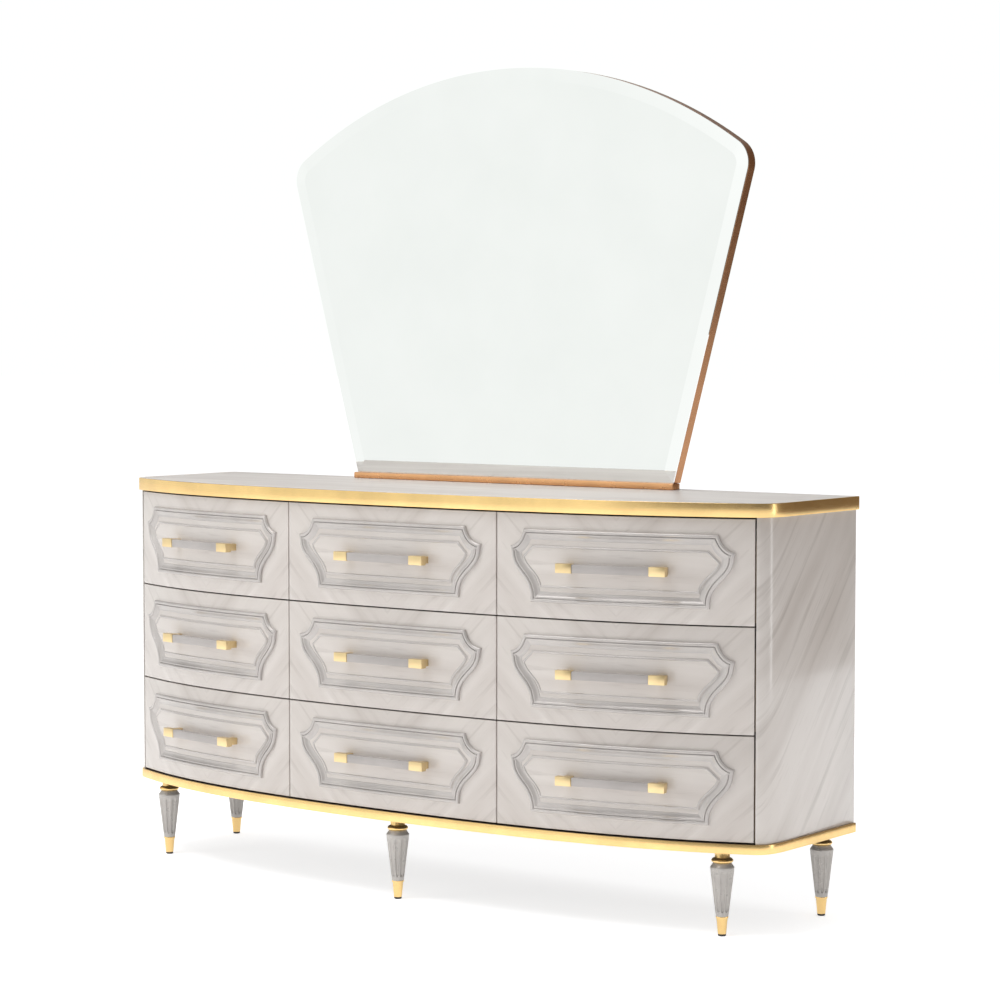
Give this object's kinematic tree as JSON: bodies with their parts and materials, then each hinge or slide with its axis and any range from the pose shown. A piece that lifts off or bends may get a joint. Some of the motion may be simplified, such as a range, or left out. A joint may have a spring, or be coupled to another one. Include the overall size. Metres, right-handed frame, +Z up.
{
  "type": "bow-front dresser with mirror",
  "caption": "Bow-front chest of drawers on tapered fluted legs, with gold edge bands, scrolled raised mouldings, square bar pulls and a fan-shaped bevelled mirror on top.",
  "frame": {"origin": "bottom centre of the whole object's bounding box, on the floor under the ferrules", "axes": "+Z up, +X to the right of someone facing the drawers, -Y towards the front"},
  "size_m": [1.896, 0.576, 1.957],
  "materials": {
    "veneer": "light warm grey veneer under clear gloss lacquer",
    "polished_top": "light grey veneer under mirror-gloss lacquer",
    "gold_trim": "polished yellow gold",
    "rose_bronze": "satin rose bronze",
    "mirror": "silvered glass",
    "handle": "glossy warm grey with pale gold ends",
    "leg": "grey satin lacquer",
    "drawer_wood": "clear sealed",
    "carcass_wood": "dark matt stain"
  },
  "bodies": {
    "case": {"top_panel": "polished_top", "top_trim": "gold_trim", "bottom_panel": "carcass_wood", "bottom_trim": "gold_trim", "left_side_panel": "veneer", "right_side_panel": "veneer", "back_panel": "carcass_wood", "left_divider": "carcass_wood", "right_divider": "carcass_wood", "upper_dust_board": "carcass_wood", "lower_dust_board": "carcass_wood", "front_left_leg_shaft": "leg", "front_left_leg_collar": "gold_trim", "front_left_leg_ferrule": "gold_trim", "front_middle_leg_shaft": "leg", "front_middle_leg_collar": "gold_trim", "front_middle_leg_ferrule": "gold_trim", "front_right_leg_shaft": "leg", "front_right_leg_collar": "gold_trim", "front_right_leg_ferrule": "gold_trim", "rear_left_leg_shaft": "leg", "rear_left_leg_collar": "gold_trim", "rear_left_leg_ferrule": "gold_trim", "rear_right_leg_shaft": "leg", "rear_right_leg_collar": "gold_trim", "rear_right_leg_ferrule": "gold_trim", "mirror_glass": "mirror", "mirror_frame_band": "rose_bronze", "mirror_back_board": "carcass_wood", "mirror_rail": "rose_bronze", "mirror_support_left": "carcass_wood", "mirror_support_right": "carcass_wood"},
    "top_left_drawer": {"top_left_drawer_front": "veneer", "top_left_drawer_box": "drawer_wood", "top_left_drawer_handle": "handle"},
    "centre_left_drawer": {"centre_left_drawer_front": "veneer", "centre_left_drawer_box": "drawer_wood", "centre_left_drawer_handle": "handle"},
    "bottom_left_drawer": {"bottom_left_drawer_front": "veneer", "bottom_left_drawer_box": "drawer_wood", "bottom_left_drawer_handle": "handle"},
    "top_middle_drawer": {"top_middle_drawer_front": "veneer", "top_middle_drawer_box": "drawer_wood", "top_middle_drawer_handle": "handle"},
    "centre_middle_drawer": {"centre_middle_drawer_front": "veneer", "centre_middle_drawer_box": "drawer_wood", "centre_middle_drawer_handle": "handle"},
    "bottom_middle_drawer": {"bottom_middle_drawer_front": "veneer", "bottom_middle_drawer_box": "drawer_wood", "bottom_middle_drawer_handle": "handle"},
    "top_right_drawer": {"top_right_drawer_front": "veneer", "top_right_drawer_box": "drawer_wood", "top_right_drawer_handle": "handle"},
    "centre_right_drawer": {"centre_right_drawer_front": "veneer", "centre_right_drawer_box": "drawer_wood", "centre_right_drawer_handle": "handle"},
    "bottom_right_drawer": {"bottom_right_drawer_front": "veneer", "bottom_right_drawer_box": "drawer_wood", "bottom_right_drawer_handle": "handle"}
  },
  "joints": [
    {"name": "top_left_drawer_slide", "type": "slide", "parent": "case", "child": "top_left_drawer", "axis": [0, -1, 0], "range_m": [0, 0.26]},
    {"name": "centre_left_drawer_slide", "type": "slide", "parent": "case", "child": "centre_left_drawer", "axis": [0, -1, 0], "range_m": [0, 0.26]},
    {"name": "bottom_left_drawer_slide", "type": "slide", "parent": "case", "child": "bottom_left_drawer", "axis": [0, -1, 0], "range_m": [0, 0.26]},
    {"name": "top_middle_drawer_slide", "type": "slide", "parent": "case", "child": "top_middle_drawer", "axis": [0, -1, 0], "range_m": [0, 0.34]},
    {"name": "centre_middle_drawer_slide", "type": "slide", "parent": "case", "child": "centre_middle_drawer", "axis": [0, -1, 0], "range_m": [0, 0.34]},
    {"name": "bottom_middle_drawer_slide", "type": "slide", "parent": "case", "child": "bottom_middle_drawer", "axis": [0, -1, 0], "range_m": [0, 0.34]},
    {"name": "top_right_drawer_slide", "type": "slide", "parent": "case", "child": "top_right_drawer", "axis": [0, -1, 0], "range_m": [0, 0.26]},
    {"name": "centre_right_drawer_slide", "type": "slide", "parent": "case", "child": "centre_right_drawer", "axis": [0, -1, 0], "range_m": [0, 0.26]},
    {"name": "bottom_right_drawer_slide", "type": "slide", "parent": "case", "child": "bottom_right_drawer", "axis": [0, -1, 0], "range_m": [0, 0.26]}
  ]
}
